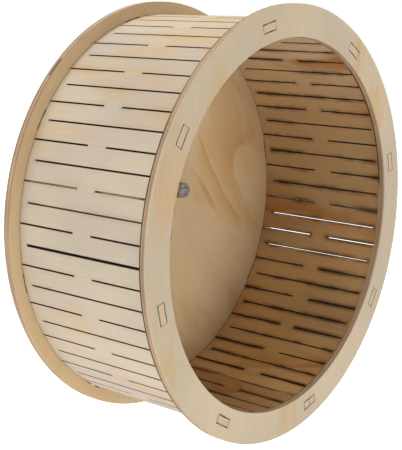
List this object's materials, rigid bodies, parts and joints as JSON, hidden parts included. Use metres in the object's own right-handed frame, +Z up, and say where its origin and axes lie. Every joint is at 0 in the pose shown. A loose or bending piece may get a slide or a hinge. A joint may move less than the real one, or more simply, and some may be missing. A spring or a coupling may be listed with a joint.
{
  "type": "hamster wheel",
  "caption": "Plywood running wheel for a small pet: a kerf-bent drum between an open ring and a closed disc, turning on a ball-bearing hub and an axle bolt for a cage wall.",
  "frame": {"origin": "on the axle's line, on the face of the washer that seats on the cage wall", "axes": "+Y along the axle, from the wheel's open side to the cage wall; +Z up as it hangs"},
  "size_m": [0.3, 0.1739, 0.3],
  "materials": {
    "plywood": "raw, sanded",
    "zinc_plated_steel": "bright zinc plate",
    "bearing_steel": "ground and polished",
    "cage_nylon": "moulded, natural"
  },
  "bodies": {
    "axle": {"axle_bolt": "zinc_plated_steel", "axle_head_washer": "zinc_plated_steel", "axle_front_shim": "zinc_plated_steel", "front_bearing_inner_ring": "bearing_steel", "bearing_inner_spacer": "zinc_plated_steel", "rear_bearing_inner_ring": "bearing_steel", "axle_rear_sleeve": "zinc_plated_steel", "wall_washer": "zinc_plated_steel"},
    "wheel": {"front_ring": "plywood", "running_drum": "plywood", "rear_disc": "plywood", "hub_layer_front": "plywood", "hub_layer_rear": "plywood", "hub_cap": "plywood", "hub_bolts": "zinc_plated_steel", "hub_washers": "zinc_plated_steel", "hub_nuts": "zinc_plated_steel", "front_bearing_outer_ring": "bearing_steel", "front_bearing_shields": "bearing_steel", "bearing_outer_spacer": "zinc_plated_steel", "rear_bearing_outer_ring": "bearing_steel", "rear_bearing_shields": "bearing_steel"},
    "front_cage": {"front_bearing_cage": "cage_nylon", "front_bearing_balls": "bearing_steel"},
    "rear_cage": {"rear_bearing_cage": "cage_nylon", "rear_bearing_balls": "bearing_steel"}
  },
  "joints": [
    {"name": "wheel_spin", "type": "hinge", "parent": "axle", "child": "wheel", "pos_m": [0, 0, 0], "axis": [0, 1, 0], "continuous": true},
    {"name": "front_cage_spin", "type": "hinge", "parent": "axle", "child": "front_cage", "pos_m": [0, -0.023, 0], "axis": [0, 1, 0], "continuous": true},
    {"name": "rear_cage_spin", "type": "hinge", "parent": "axle", "child": "rear_cage", "pos_m": [0, -0.015, 0], "axis": [0, 1, 0], "continuous": true}
  ],
  "couplings": [
    {"joint": "front_cage_spin", "follows": "wheel_spin", "ratio": 0.6323},
    {"joint": "rear_cage_spin", "follows": "wheel_spin", "ratio": 0.6323}
  ]
}
